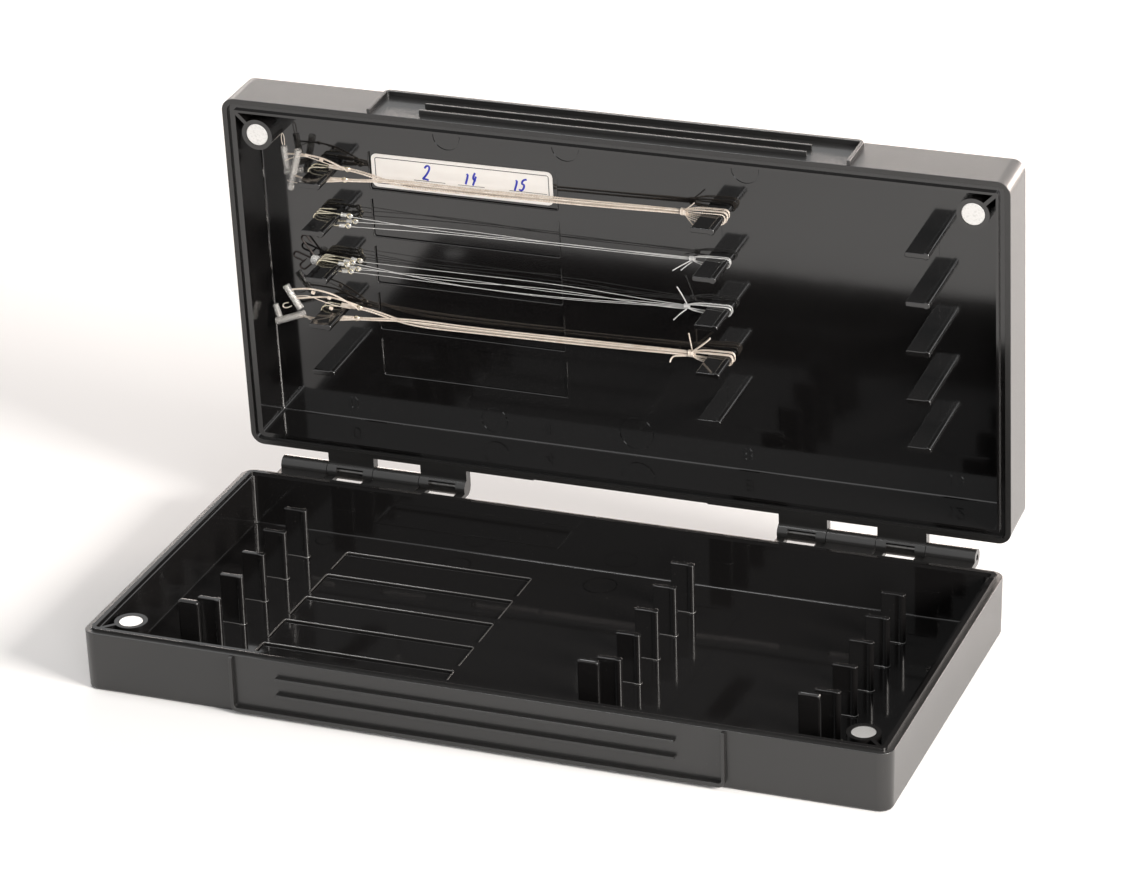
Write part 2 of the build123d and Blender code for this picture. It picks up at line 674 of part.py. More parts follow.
for name, shape in nodes.items():
    export_step(shape, "parts/" + name + ".step")
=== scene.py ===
import bpy
import bmesh
from math import cos, pi, radians, sin
from mathutils import Matrix, Vector


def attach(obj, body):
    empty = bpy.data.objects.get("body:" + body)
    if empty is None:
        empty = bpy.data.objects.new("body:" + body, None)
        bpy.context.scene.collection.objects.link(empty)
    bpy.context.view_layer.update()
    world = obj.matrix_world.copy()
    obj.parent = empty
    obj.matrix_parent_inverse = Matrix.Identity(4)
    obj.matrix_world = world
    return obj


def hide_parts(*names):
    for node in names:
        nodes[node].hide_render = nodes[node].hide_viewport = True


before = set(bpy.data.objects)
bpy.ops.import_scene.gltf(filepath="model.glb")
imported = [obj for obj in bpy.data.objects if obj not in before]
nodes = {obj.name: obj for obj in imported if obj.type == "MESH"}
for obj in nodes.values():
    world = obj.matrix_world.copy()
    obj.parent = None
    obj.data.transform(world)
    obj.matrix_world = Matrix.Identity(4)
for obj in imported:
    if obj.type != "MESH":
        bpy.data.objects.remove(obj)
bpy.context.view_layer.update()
scene = bpy.context.scene

# Places and sizes taken from the part, in millimetres, and angles in degrees
OPEN_ANGLE = 86.58
AXIS_Y = 101.15
AXIS_Z = 30.0
LID_FLOOR = 54.1
PEG_LEFT = -156.3
PEG_MIDDLE = 40.2
PEG_RIGHT = 142.4
BEAD_CENTRE = 9.85
BEAD_RADIUS = 1.75
PLATE_HALF = 1.3
PLATE_CLEAR = 1.35
ROWS = [-50.7, -25.9, -1.1, 23.7, 48.5]
BASE_FLOOR = 3.7
BASE_ROWS = [57.6, 32.8, 8.0, -16.8, -41.6]
PEG_COLUMNS = [PEG_LEFT, PEG_MIDDLE, PEG_RIGHT]
TALL_PEG_LEFTS = [-154.0, 40.1, 142.4]
TALL_PEG_ROW = -66.4
TALL_PEG_WIDTH = 10.2
RECESS_LEFT, RECESS_RIGHT, RECESS_HALF = -129.5, -33.9, 10.0
HOOK_BEND_X = -153.8
HOOK_LEAN = 4.0
HOOK_BEND = 3.0
HOOK_EYE = 1.1
LABEL_X, LABEL_Y, LABEL_OFF = -82.3, -51.1, -0.45
LABEL_HALF_X, LABEL_HALF_Y = 46.0, 8.6
LABEL_ROLL, FIGURES_ROLL = 0.2, -1.0
LIP_RADIUS = 0.42
WELD_RADIUS = 0.32
TUBE_WALL = 0.9
MM = 0.001

# Limits of the inner faces in the shut case, in metres
INSIDE_HALF_X, INSIDE_HALF_Y = 0.18885, 0.08885
INSIDE_LOW, INSIDE_HIGH = 0.0015, 0.056


def on_lid(x, y, off):
    # A spot inside the open lid, from its place in the shut lid and its distance off the lid floor
    turn = radians(-OPEN_ANGLE)
    dy = y - AXIS_Y
    dz = LID_FLOOR - off - AXIS_Z
    return Vector((x, AXIS_Y + dy * cos(turn) - dz * sin(turn),
                   AXIS_Z + dy * sin(turn) + dz * cos(turn))) * MM


# ---- camera, light and floor ----

camera_data = bpy.data.cameras.new("camera")
camera_data.sensor_fit = "HORIZONTAL"
camera_data.sensor_width = 36.0
camera_data.lens = 142.33
camera_data.clip_start = 0.05
camera_data.clip_end = 40.0
camera = bpy.data.objects.new("camera", camera_data)
scene.collection.objects.link(camera)
camera.location = (0.67520, -1.70572, 0.95498)
camera.rotation_euler = (radians(65.1716), radians(1.5423), radians(20.5244))
scene.camera = camera
scene.view_settings.view_transform = "Standard"


def area_lamp(name, place, target, size_x, size_y, power, colour):
    data = bpy.data.lights.new(name, "AREA")
    data.shape = "RECTANGLE"
    data.size = size_x
    data.size_y = size_y
    data.energy = power
    data.color = colour
    lamp = bpy.data.objects.new(name, data)
    scene.collection.objects.link(lamp)
    lamp.location = place
    lamp.rotation_euler = (Vector(target) - Vector(place)).to_track_quat("-Z", "Y").to_euler()
    return lamp


area_lamp("key_right", (2.05, -0.62, 1.0), (0.0, 0.03, 0.0), 0.8, 0.7, 82.0, (1.0, 0.95, 0.90))
area_lamp("back_low", (0.2, 2.1, 0.42), (0.0, 0.1, 0.1), 3.4, 0.74, 84.0, (1.0, 0.87, 0.79))
area_lamp("top_left", (-0.62, 0.1, 2.1), (0.0, 0.0, 0.0), 0.55, 0.35, 9.0, (1.0, 1.0, 1.0))
area_lamp("front_fill", (1.5, -2.5, 0.8), (0.0, 0.1, 0.12), 1.0, 0.7, 23.0, (1.0, 1.0, 1.0))


def build_world():
    world = bpy.data.worlds.new("studio")
    scene.world = world
    world.use_nodes = True
    tree = world.node_tree
    tree.nodes.clear()
    out = tree.nodes.new("ShaderNodeOutputWorld")
    seen = tree.nodes.new("ShaderNodeBackground")
    seen.inputs["Color"].default_value = (1.0, 1.0, 1.0, 1.0)
    seen.inputs["Strength"].default_value = 1.0
    soft = tree.nodes.new("ShaderNodeBackground")
    soft.inputs["Color"].default_value = (1.0, 0.99, 0.98, 1.0)
    soft.inputs["Strength"].default_value = 0.36
    path = tree.nodes.new("ShaderNodeLightPath")
    either = tree.nodes.new("ShaderNodeMath")
    either.operation = "MAXIMUM"
    third = tree.nodes.new("ShaderNodeMath")
    third.operation = "MAXIMUM"
    mix = tree.nodes.new("ShaderNodeMixShader")
    tree.links.new(path.outputs["Is Camera Ray"], either.inputs[0])
    tree.links.new(path.outputs["Is Glossy Ray"], either.inputs[1])
    tree.links.new(either.outputs[0], third.inputs[0])
    tree.links.new(path.outputs["Is Transmission Ray"], third.inputs[1])
    tree.links.new(third.outputs[0], mix.inputs["Fac"])
    tree.links.new(soft.outputs[0], mix.inputs[1])
    tree.links.new(seen.outputs[0], mix.inputs[2])
    tree.links.new(mix.outputs[0], out.inputs["Surface"])


build_world()

# ---- shader groups shared by the finishes ----


def new_group(name, inputs, outputs):
    # Empty shader group with the given sockets
    group = bpy.data.node_groups.new(name, "ShaderNodeTree")
    for label, kind, value in inputs:
        socket = group.interface.new_socket(label, in_out="INPUT", socket_type=kind)
        if value is not None:
            socket.default_value = value
    for label, kind in outputs:
        group.interface.new_socket(label, in_out="OUTPUT", socket_type=kind)
    start = group.nodes.new("NodeGroupInput")
    end = group.nodes.new("NodeGroupOutput")
    return group, start, end


def add(tree, kind, **settings):
    node = tree.nodes.new(kind)
    for key, value in settings.items():
        setattr(node, key, value)
    return node


def math_node(tree, operation, a, b=None):
    node = add(tree, "ShaderNodeMath", operation=operation)
    for index, value in enumerate((a, b)):
        if value is None:
            continue
        if isinstance(value, (int, float)):
            node.inputs[index].default_value = value
        else:
            tree.links.new(value, node.inputs[index])
    return node.outputs[0]


def noise(tree, vector, scale, detail, roughness=0.5):
    node = add(tree, "ShaderNodeTexNoise")
    node.inputs["Scale"].default_value = scale
    node.inputs["Detail"].default_value = detail
    node.inputs["Roughness"].default_value = roughness
    tree.links.new(vector, node.inputs["Vector"])
    return node.outputs["Fac"]


def ramp(tree, value, low, high):
    node = add(tree, "ShaderNodeMapRange", interpolation_type="SMOOTHSTEP")
    node.inputs["From Min"].default_value = low
    node.inputs["From Max"].default_value = high
    tree.links.new(value, node.inputs["Value"])
    return node.outputs["Result"]


def build_inside_group():
    # 1 inside the tray walls and 0 on the outer walls, outer floor and hinge
    group, start, end = new_group("tray_inside", [("Vector", "NodeSocketVector", None)],
                                  [("Inside", "NodeSocketFloat")])
    split = add(group, "ShaderNodeSeparateXYZ")
    group.links.new(start.outputs["Vector"], split.inputs[0])
    side = math_node(group, "ABSOLUTE", split.outputs["X"])
    depth = math_node(group, "ABSOLUTE", split.outputs["Y"])
    a = math_node(group, "LESS_THAN", side, INSIDE_HALF_X)
    b = math_node(group, "LESS_THAN", depth, INSIDE_HALF_Y)
    c = math_node(group, "GREATER_THAN", split.outputs["Z"], INSIDE_LOW)
    d = math_node(group, "LESS_THAN", split.outputs["Z"], INSIDE_HIGH)
    ab = math_node(group, "MULTIPLY", a, b)
    cd = math_node(group, "MULTIPLY", c, d)
    group.links.new(math_node(group, "MULTIPLY", ab, cd), end.inputs["Inside"])
    return group


def build_moulded_group():
    # Fine spark texture, soft sinks, faint scuffs and dust of moulded plastic
    group, start, end = new_group(
        "moulded_surface",
        [("Vector", "NodeSocketVector", None), ("Grain", "NodeSocketFloat", 1.0)],
        [("Height", "NodeSocketFloat"), ("Scuff", "NodeSocketFloat"), ("Dust", "NodeSocketFloat"),
         ("Cloud", "NodeSocketFloat")])
    vector = start.outputs["Vector"]
    fine = noise(group, vector, 2600.0, 3.0, 0.6)
    sink = noise(group, vector, 38.0, 2.0, 0.5)
    grain = math_node(group, "MULTIPLY", fine, start.outputs["Grain"])
    soft = math_node(group, "MULTIPLY", sink, 0.6)
    group.links.new(math_node(group, "ADD", grain, soft), end.inputs["Height"])
    stretch = add(group, "ShaderNodeMapping")
    stretch.inputs["Scale"].default_value = (0.35, 3.0, 3.0)
    stretch.inputs["Rotation"].default_value = (0.3, 0.2, 0.5)
    group.links.new(vector, stretch.inputs["Vector"])
    lines = noise(group, stretch.outputs[0], 420.0, 2.0, 0.5)
    patch = noise(group, vector, 24.0, 2.0, 0.6)
    marks = math_node(group, "MULTIPLY", ramp(group, lines, 0.62, 0.75),
                      ramp(group, patch, 0.48, 0.7))
    group.links.new(marks, end.inputs["Scuff"])
    specks = noise(group, vector, 1500.0, 1.0, 0.4)
    group.links.new(math_node(group, "MULTIPLY", ramp(group, specks, 0.75, 0.82),
                              ramp(group, patch, 0.4, 0.62)), end.inputs["Dust"])
    group.links.new(noise(group, vector, 11.0, 3.0, 0.55), end.inputs["Cloud"])
    return group


def build_scratch_group():
    # Hairline scratches in two directions on bright metal
    group, start, end = new_group("metal_scratches", [("Vector", "NodeSocketVector", None)],
                                  [("Height", "NodeSocketFloat"), ("Mask", "NodeSocketFloat")])
    parts = []
    for angle in (0.4, 1.9):
        turn = add(group, "ShaderNodeMapping")
        turn.inputs["Rotation"].default_value = (0.0, 0.0, angle)
        turn.inputs["Scale"].default_value = (1.0, 9.0, 1.0)
        group.links.new(start.outputs["Vector"], turn.inputs["Vector"])
        parts.append(noise(group, turn.outputs[0], 900.0, 2.0, 0.5))
    total = math_node(group, "MULTIPLY", parts[0], parts[1])
    group.links.new(total, end.inputs["Height"])
    group.links.new(ramp(group, total, 0.2, 0.42), end.inputs["Mask"])
    return group


def build_fibre_group():
    # Short fibres of cord or paper
    group, start, end = new_group(
        "fibres", [("Vector", "NodeSocketVector", None), ("Size", "NodeSocketFloat", 1.0)],
        [("Height", "NodeSocketFloat"), ("Tone", "NodeSocketFloat")])
    scaled = add(group, "ShaderNodeVectorMath", operation="SCALE")
    group.links.new(start.outputs["Vector"], scaled.inputs[0])
    group.links.new(start.outputs["Size"], scaled.inputs["Scale"])
    vector = scaled.outputs[0]
    group.links.new(noise(group, vector, 2400.0, 3.0, 0.65), end.inputs["Height"])
    group.links.new(noise(group, vector, 520.0, 3.0, 0.6), end.inputs["Tone"])
    return group


INSIDE = build_inside_group()
MOULDED = build_moulded_group()
SCRATCHES = build_scratch_group()
FIBRES = build_fibre_group()


def new_material(name):
    material = bpy.data.materials.new(name)
    material.use_nodes = True
    tree = material.node_tree
    shader = tree.nodes["Principled BSDF"]
    return material, tree, shader


def group_node(tree, group):
    node = add(tree, "ShaderNodeGroup")
    node.node_tree = group
    return node


def object_vector(tree):
    return add(tree, "ShaderNodeTexCoord").outputs["Object"]


def mix_value(tree, factor, low, high):
    node = add(tree, "ShaderNodeMix", data_type="FLOAT")
    for index, value in ((0, factor), (2, low), (3, high)):
        if isinstance(value, (int, float)):
            node.inputs[index].default_value = value
        else:
            tree.links.new(value, node.inputs[index])
    return node.outputs[0]


def mix_colour(tree, factor, low, high):
    node = add(tree, "ShaderNodeMix", data_type="RGBA")
    for index, value in ((0, factor), (6, low), (7, high)):
        if isinstance(value, (int, float)):
            node.inputs[index].default_value = value
        elif isinstance(value, tuple):
            node.inputs[index].default_value = (*value, 1.0)
        else:
            tree.links.new(value, node.inputs[index])
    return node.outputs[2]


def bump(tree, shader, height, strength, distance):
    node = add(tree, "ShaderNodeBump")
    node.inputs["Strength"].default_value = strength
    node.inputs["Distance"].default_value = distance
    tree.links.new(height, node.inputs["Height"])
    tree.links.new(node.outputs["Normal"], shader.inputs["Normal"])


def case_plastic(name, turned, inner_tone, inner_coat):
    # Black moulded plastic, polished inside the tray and satin outside
    material, tree, shader = new_material(name)
    vector = object_vector(tree)
    if turned:
        turn = radians(OPEN_ANGLE)
        place = add(tree, "ShaderNodeMapping")
        place.inputs["Rotation"].default_value = (turn, 0.0, 0.0)
        place.inputs["Location"].default_value = (
            0.0,
            (AXIS_Y - AXIS_Y * cos(turn) + AXIS_Z * sin(turn)) * MM,
            (AXIS_Z - AXIS_Y * sin(turn) - AXIS_Z * cos(turn)) * MM)
        tree.links.new(vector, place.inputs["Vector"])
        vector = place.outputs[0]
    inside = group_node(tree, INSIDE)
    tree.links.new(vector, inside.inputs["Vector"])
    mask = inside.outputs["Inside"]
    surface = group_node(tree, MOULDED)
    tree.links.new(vector, surface.inputs["Vector"])
    tree.links.new(mix_value(tree, mask, 1.0, 0.0), surface.inputs["Grain"])
    tone = mix_colour(tree, surface.outputs["Cloud"],
                      (0.0075, 0.0072, 0.0070), (0.0105, 0.0100, 0.0096))
    deep = mix_colour(tree, mask, tone, inner_tone)
    dusty = math_node(tree, "MULTIPLY", surface.outputs["Dust"], 0.55)
    tree.links.new(mix_colour(tree, dusty, deep, (0.11, 0.10, 0.095)), shader.inputs["Base Color"])
    cloud = surface.outputs["Cloud"]
    satin = math_node(tree, "ADD", math_node(tree, "MULTIPLY", cloud, 0.10), 0.33)
    gloss = math_node(tree, "ADD", math_node(tree, "MULTIPLY", cloud, 0.05), 0.055)
    rough = mix_value(tree, mask, satin, gloss)
    scuffed = math_node(tree, "MULTIPLY", surface.outputs["Scuff"], 0.12)
    tree.links.new(math_node(tree, "ADD", rough, scuffed), shader.inputs["Roughness"])
    shader.inputs["IOR"].default_value = 1.5
    tree.links.new(mix_value(tree, mask, 0.46, inner_coat), shader.inputs["Coat Weight"])
    shader.inputs["Coat Roughness"].default_value = 0.1
    bump(tree, shader, surface.outputs["Height"], 0.16, 0.0004)
    return material


def painted_highlight_lip(name):
    # Edges of the black plastic, coloured lighter grey than the trays as a painted highlight along
    # the edges
    material, tree, shader = new_material(name)
    surface = group_node(tree, MOULDED)
    tree.links.new(object_vector(tree), surface.inputs["Vector"])
    surface.inputs["Grain"].default_value = 0.3
    # Base colour several times lighter than the tray plastic: painted highlight standing in for
    # light caught by the fine edges
    tone = mix_colour(tree, surface.outputs["Cloud"],
                      (0.045, 0.043, 0.041), (0.085, 0.081, 0.077))
    tree.links.new(tone, shader.inputs["Base Color"])
    tree.links.new(mix_value(tree, surface.outputs["Cloud"], 0.16, 0.26),
                   shader.inputs["Roughness"])
    shader.inputs["IOR"].default_value = 1.6
    shader.inputs["Coat Weight"].default_value = 1.0
    shader.inputs["Coat Roughness"].default_value = 0.12
    bump(tree, shader, surface.outputs["Height"], 0.1, 0.0003)
    return material


def bright_metal(name, low, high, roughness, strength):
    # Metal with hairline scratches
    material, tree, shader = new_material(name)
    scratches = group_node(tree, SCRATCHES)
    tree.links.new(object_vector(tree), scratches.inputs["Vector"])
    tree.links.new(mix_colour(tree, scratches.outputs["Mask"], low, high),
                   shader.inputs["Base Color"])
    tree.links.new(mix_value(tree, scratches.outputs["Mask"], roughness, roughness + 0.14),
                   shader.inputs["Roughness"])
    shader.inputs["Metallic"].default_value = 1.0
    bump(tree, shader, scratches.outputs["Height"], strength, 0.0001)
    return material


def fibre_material(name, low, high, roughness, size, strength):
    # Fibrous cord, paper or ink
    material, tree, shader = new_material(name)
    fibres = group_node(tree, FIBRES)
    tree.links.new(object_vector(tree), fibres.inputs["Vector"])
    fibres.inputs["Size"].default_value = size
    tree.links.new(mix_colour(tree, fibres.outputs["Tone"], low, high), shader.inputs["Base Color"])
    tree.links.new(mix_value(tree, fibres.outputs["Tone"], roughness - 0.08, roughness + 0.08),
                   shader.inputs["Roughness"])
    bump(tree, shader, fibres.outputs["Height"], strength, 0.0001)
    return material


def clear_material(name, colour, roughness, transmission):
    # Clear nylon or silicone
    material, tree, shader = new_material(name)
    fibres = group_node(tree, FIBRES)
    tree.links.new(object_vector(tree), fibres.inputs["Vector"])
    pale = tuple(min(1.0, c * 1.08) for c in colour)
    tree.links.new(mix_colour(tree, fibres.outputs["Tone"], colour, pale),
                   shader.inputs["Base Color"])
    tree.links.new(mix_value(tree, fibres.outputs["Tone"], roughness - 0.05, roughness + 0.05),
                   shader.inputs["Roughness"])
    shader.inputs["Transmission Weight"].default_value = transmission
    shader.inputs["IOR"].default_value = 1.45
    bump(tree, shader, fibres.outputs["Height"], 0.1, 0.0001)
    return material


BLACK_BASE = case_plastic("case_plastic_base", False, (0.0085, 0.0080, 0.0080), 0.0)
BLACK_LID = case_plastic("case_plastic_lid", True, (0.0060, 0.0056, 0.0056), 0.75)
# Edge finish whose lighter grey colour is a painted highlight
PAINTED_HIGHLIGHT_LIP = painted_highlight_lip("painted_highlight_lip")
STEEL = bright_metal("pin_steel", (0.17, 0.165, 0.16), (0.09, 0.088, 0.085), 0.34, 0.25)
NICKEL = bright_metal("magnet_nickel", (0.86, 0.85, 0.83), (0.74, 0.73, 0.71), 0.42, 0.2)
GOLD = bright_metal("hook_gold", (0.90, 0.83, 0.66), (0.62, 0.53, 0.36), 0.22, 0.2)
DARK = bright_metal("hook_dark", (0.045, 0.038, 0.036), (0.025, 0.022, 0.022), 0.42, 0.2)
BRAID = fibre_material("braid_cord", (0.50, 0.37, 0.27), (1.0, 0.95, 0.87), 0.42, 1.0, 0.4)
PAPER = fibre_material("label_paper", (0.95, 0.90, 0.85), (0.98, 0.95, 0.91), 0.72, 0.5, 0.2)
PRINT = fibre_material("label_print", (0.035, 0.033, 0.035), (0.07, 0.065, 0.065), 0.6, 0.6, 0.1)
INK = fibre_material("pen_ink", (0.015, 0.025, 0.38), (0.03, 0.05, 0.55), 0.5, 0.6, 0.1)
NYLON = clear_material("clear_nylon", (0.90, 0.90, 0.89), 0.14, 0.62)
SILICONE = clear_material("clear_silicone", (0.90, 0.88, 0.85), 0.16, 0.78)


def finish_with(name, material):
    data = nodes[name].data
    data.materials.clear()
    data.materials.append(material)


for name in nodes:
    if name == "base_tray":
        finish_with(name, BLACK_BASE)
    elif name == "lid_tray":
        finish_with(name, BLACK_LID)
    elif "magnet" in name:
        finish_with(name, NICKEL)
    elif "pin" in name:
        finish_with(name, STEEL)
    elif "_hook_" in name:
        finish_with(name, GOLD)
    elif "_point_" in name:
        finish_with(name, DARK)
    elif name == "rig_3_tie":
        finish_with(name, NYLON)
    elif "_stop_" in name:
        finish_with(name, SILICONE)
    elif name == "rig_label":
        finish_with(name, PAPER)
    elif name in ("rig_2_line", "rig_3_line"):
        finish_with(name, NYLON)
    else:
        finish_with(name, BRAID)

# ---- cords, wraps, tubes and label of the rigs ----


def smooth_route(points):
    # Points along the smooth NURBS line that the given spots guide
    data = bpy.data.curves.new("route", "CURVE")
    data.dimensions = "3D"
    data.resolution_u = 16
    spline = data.splines.new("NURBS")
    spline.points.add(len(points) - 1)
    for point, place in zip(spline.points, points):
        point.co = (*place, 1.0)
    spline.order_u = min(3, len(points))
    spline.use_endpoint_u = True
    holder = bpy.data.objects.new("route", data)
    mesh = bpy.data.meshes.new_from_object(holder)
    line = [vertex.co.copy() for vertex in mesh.vertices]
    bpy.data.objects.remove(holder)
    bpy.data.curves.remove(data)
    bpy.data.meshes.remove(mesh)
    return line


def even_steps(line, step):
    # The same line with points an even distance apart
    lengths = [(b - a).length for a, b in zip(line, line[1:])]
    total = sum(lengths)
    count = max(2, int(round(total / step)))
    result = []
    index = 0
    passed = 0.0
    for k in range(count + 1):
        want = total * k / count
        while index < len(lengths) - 1 and passed + lengths[index] < want:
            passed += lengths[index]
            index += 1
        share = (want - passed) / lengths[index] if lengths[index] > 0 else 0.0
        result.append(line[index].lerp(line[index + 1], min(1.0, max(0.0, share))))
    return result


def wound(line, radius, pitch, phase, step):
    # A thread that winds round the line
    line = even_steps(line, step)
    side = None
    result = []
    travelled = 0.0
    for index, point in enumerate(line):
        ahead = line[min(index + 1, len(line) - 1)]
        behind = line[max(index - 1, 0)]
        direction = (ahead - behind).normalized()
        if side is None:
            side = direction.orthogonal().normalized()
        side = (side - direction * side.dot(direction)).normalized()
        other = direction.cross(side)
        if index:
            travelled += (point - line[index - 1]).length
        angle = phase + 2 * pi * travelled / pitch
        result.append(point + radius * (cos(angle) * side + sin(angle) * other))
    return result


def cord_object(name, threads, finish, sides=2, caps=True):
    # One object made of round threads, each given as its points and its radius
    data = bpy.data.curves.new(name, "CURVE")
    data.dimensions = "3D"
    data.bevel_depth = 1.0
    data.bevel_resolution = sides
    data.use_fill_caps = caps
    for points, radius in threads:
        spline = data.splines.new("POLY")
        spline.points.add(len(points) - 1)
        for point, place in zip(spline.points, points):
            point.co = (*place, 1.0)
            point.radius = radius
    holder = bpy.data.objects.new(name + "_line", data)
    mesh = bpy.data.meshes.new_from_object(holder)
    mesh.name = name
    bpy.data.objects.remove(holder)
    bpy.data.curves.remove(data)
    for polygon in mesh.polygons:
        polygon.use_smooth = True
    piece = bpy.data.objects.new(name, mesh)
    scene.collection.objects.link(piece)
    mesh.materials.clear()
    mesh.materials.append(finish)
    return piece


def plaited(points, width, pitch=2.6):
    # Two plies twisted into a cord of the given width, all in millimetres
    line = smooth_route(points)
    ply = width * 0.26 * MM
    offset = width * 0.25 * MM
    return [(wound(line, offset, pitch * MM, phase, pitch * MM / 7), ply) for phase in (0.0, pi)]


def plain_line(points, width):
    return [(even_steps(smooth_route(points), 1.0 * MM), width * 0.5 * MM)]


def spots(*places):
    return [on_lid(*place) for place in places]


def wraps(start, end, radius, width, turns):
    # Cord wrapped tightly round a straight stretch such as a hook shank or a knot
    line = even_steps([start, end], (end - start).length / (turns * 12))
    length = (end - start).length
    thread = wound(line, radius * MM, length / turns, 0.4, length / (turns * 12))
    return [(thread, width * 0.5 * MM)]


def bead_loop(knot_x, row, knot_off, off, width, gap, lean):
    # Cord from the knot round the bead of a middle peg and back
    centre = PEG_MIDDLE + BEAD_CENTRE
    r = BEAD_RADIUS + width / 2 + gap
    entry = PLATE_CLEAR + width / 2 + gap
    return spots((knot_x, row - 0.7, knot_off), (knot_x + 3.2, row - entry, off),
                 (centre - r, row - r, off), (centre + r, row - r, off),
                 (centre + r, row + r, off + lean), (centre - r, row + r, off + lean),
                 (knot_x + 3.2, row + entry, off + lean), (knot_x, row + 0.7, knot_off))


def shank_spot(row, side, reach):
    # Place along a hook's leaning shank, measured from its bend
    turn = radians(HOOK_LEAN)
    x = HOOK_BEND_X + reach * cos(turn) + HOOK_BEND * sin(turn)
    return x, row - side * (reach * sin(turn) - HOOK_BEND * cos(turn))


def eye_spot(row, side, length):
    # Centre of a hook's eye, as a place on the shut lid
    return shank_spot(row, side, length + HOOK_EYE)


def shank_wraps(row, off, side, length, turns, width):
    # Wraps round the shank close behind the eye
    ends = [on_lid(*shank_spot(row, side, reach), off)
            for reach in (length - 0.6, length - 0.6 - turns * width * 0.95)]
    return wraps(ends[0], ends[1], 0.45 + width / 2 + 0.04, width, turns)


def eye_knot(row, off, side, length, width):
    # Small loop of cord through the eye of a hook
    x, y = eye_spot(row, side, length)
    threads = []
    for lean in (0.35, -0.35):
        ring = [on_lid(x + 0.55 + 0.85 * cos(a), y + lean, off + 0.85 * sin(a))
                for a in [2 * pi * k / 14 for k in range(15)]]
        threads.append((ring, width * 0.5 * MM))
    return threads


def put(piece, slot, *replaced):
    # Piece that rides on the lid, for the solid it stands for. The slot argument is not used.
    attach(piece, "lid")
    if replaced:
        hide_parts(*replaced)
    return piece


def braided_rig(name, node, row, hooks, knot, loops, tags):
    # Braided rig: doubled strands, wraps behind the eyes, knot, loops and cut ends
    knot_x, knot_off, width = knot
    threads = []
    for off, side, length in hooks:
        x, y = eye_spot(row, side, length)
        for layer in (1, -1):
            bow = 0.5 * layer
            threads += plaited(spots(
                (x + 0.2, y, off + layer * 0.95), (x + 6.0, y + side * -0.3, off + layer * 0.9),
                (x + 26.0, row + side * -1.3 + 2.2 + bow * 0.3, knot_off + 0.9 * layer),
                (x + 60.0, row + side * -0.8 + 2.2 + bow * 0.3, knot_off + 0.7 * layer),
                (knot_x - 40.0, row - 0.8 * side + 1.0 + bow * 0.5, knot_off + 0.5 * layer),
                (knot_x - 6.0, row - 0.7 * side, knot_off + 0.6 * layer),
                (knot_x, row - 0.6 * side, knot_off + 0.6 * layer)), width)
        threads += shank_wraps(row, off, side, length, 13, 0.62)
        threads += eye_knot(row, off, side, length, 0.6)
    threads += wraps(on_lid(knot_x - 1.4, row, knot_off), on_lid(knot_x + 1.4, row, knot_off),
                     1.45, 0.7, 4)
    for off, gap, lean, thick in loops:
        threads += plaited(bead_loop(knot_x, row, knot_off, off, thick, gap, lean), thick, 2.2)
    for points, thick in tags:
        threads += plaited(spots(*points), thick, 2.0)
    return put(cord_object(name, threads, BRAID), "braid", node)


def clear_rig(name, node, row, hooks, knot, loops, tags, bows):
    # Clear rig: single strands that bow apart, knots, loops and cut ends
    knot_x, knot_off, width = knot
    threads = []
    for rank, (off, side, length) in enumerate(hooks):
        x, y = eye_spot(row, side, length)
        sag, lift = bows[rank]
        threads += plain_line(spots(
            (x + 0.1, y, off + 0.8), (x + 5.0, y + side * -0.2, off + 0.7),
            (x + 50.0, row - side * 0.8 + sag * 0.7, off + lift),
            (x + 105.0, row + sag, knot_off + lift),
            (knot_x - 14.0, row + (rank - 1) * 0.7, knot_off + 0.3),
            (knot_x, row + (rank - 1) * 0.5, knot_off)), width)
        threads += shank_wraps(row, off, side, length, 6, 0.5)
        threads += eye_knot(row, off, side, length, 0.5)
    threads += wraps(on_lid(knot_x - 1.2, row, knot_off), on_lid(knot_x + 1.2, row, knot_off),
                     1.0, 0.6, 4)
    for off, gap, lean, thick in loops:
        threads += plain_line(bead_loop(knot_x, row, knot_off, off, thick, gap, lean), thick)
    for points, thick in tags:
        threads += plain_line(spots(*points), thick)
    return put(cord_object(name, threads, NYLON), "clear_line", node)


ROW_A, ROW_B, ROW_C, ROW_D = ROWS[0], ROWS[1], ROWS[2], ROWS[3]
HOOKS_A = [(5.6, -1, 14.3), (9.4, 1, 14.3)]
HOOKS_B = [(2.6, 1, 15.0), (5.2, -1, 13.5), (7.8, 1, 13.5)]
HOOKS_C = [(1.8, -1, 15.5), (3.4, 1, 15.0), (5.0, -1, 13.0), (6.6, 1, 12.5), (8.2, -1, 11.5)]
HOOKS_D = [(3.6, -1, 14.0), (7.2, 1, 14.0)]

